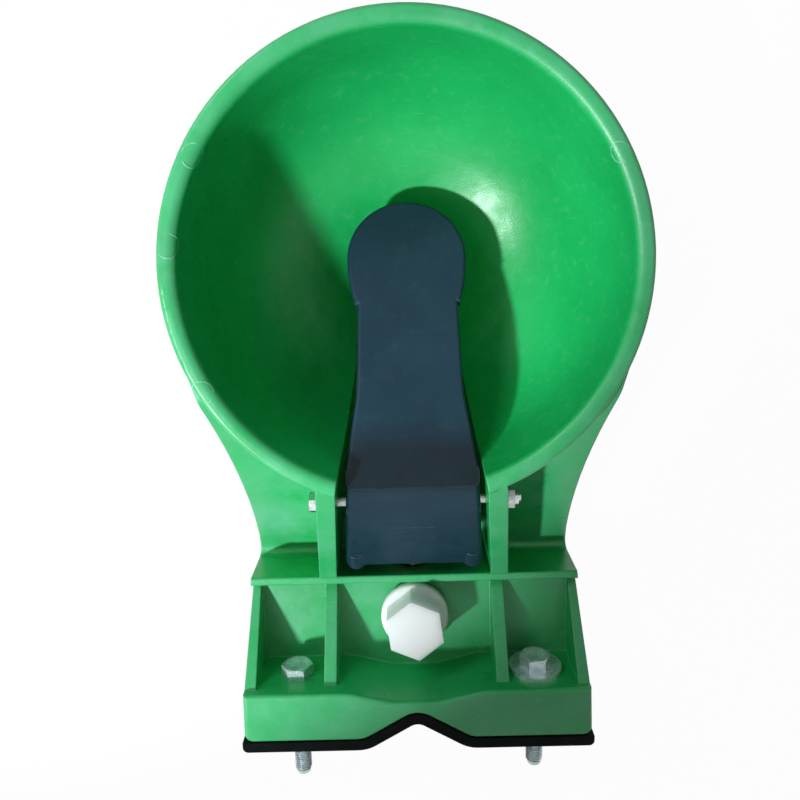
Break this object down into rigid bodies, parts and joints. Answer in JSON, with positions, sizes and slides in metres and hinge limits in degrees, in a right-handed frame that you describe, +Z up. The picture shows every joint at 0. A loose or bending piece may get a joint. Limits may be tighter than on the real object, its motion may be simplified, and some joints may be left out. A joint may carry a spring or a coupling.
{
  "type": "livestock drinking bowl",
  "caption": "Wall-mounted livestock drinking bowl with a press-down tongue that opens a spring-loaded water valve.",
  "frame": {"origin": "half way between the two mounting bolts, in the plane of the wall behind the gasket", "axes": "+Y into the wall along the mounting bolts, +Z up out of the bowl, X across, the pivot bolt's head on the +X side"},
  "size_m": [0.23, 0.4095, 0.1055],
  "materials": {
    "green_plastic": "moulded, satin, lightly scuffed",
    "tongue_plastic": "satin, blue-black",
    "stainless": "turned, bright",
    "zinc_steel": "zinc plated",
    "brass": "machined",
    "white_plastic": "smooth moulded",
    "black_rubber": "matt"
  },
  "bodies": {
    "housing": {"bowl_body": "green_plastic", "pivot_bolt": "stainless", "pivot_nut": "stainless", "valve_body": "brass", "valve_gasket": "black_rubber", "valve_seat": "white_plastic", "valve_spring": "stainless", "spring_cap": "white_plastic", "top_plug": "white_plastic", "plug_gasket": "black_rubber", "mounting_bolts": "zinc_steel", "mounting_washer": "zinc_steel", "wall_gasket": "black_rubber"},
    "tongue": {"tongue_lever": "tongue_plastic", "pivot_sleeve": "stainless"},
    "valve_pin": {"valve_stem": "stainless", "valve_seal": "black_rubber", "seal_washer": "stainless"}
  },
  "joints": [
    {"name": "tongue_pivot", "type": "hinge", "parent": "housing", "child": "tongue", "pos_m": [0, -0.144, 0.01], "axis": [1, 0, 0], "range_deg": [0, 5]},
    {"name": "valve_slide", "type": "slide", "parent": "housing", "child": "valve_pin", "axis": [0, 1, 0], "range_m": [0, 0.004], "stiffness_N_per_m": 2000, "springref_m": -0.004, "deforming": ["valve_spring"]}
  ],
  "couplings": [
    {"joint": "valve_slide", "follows": "tongue_pivot", "m_per_rad": 0.044}
  ]
}
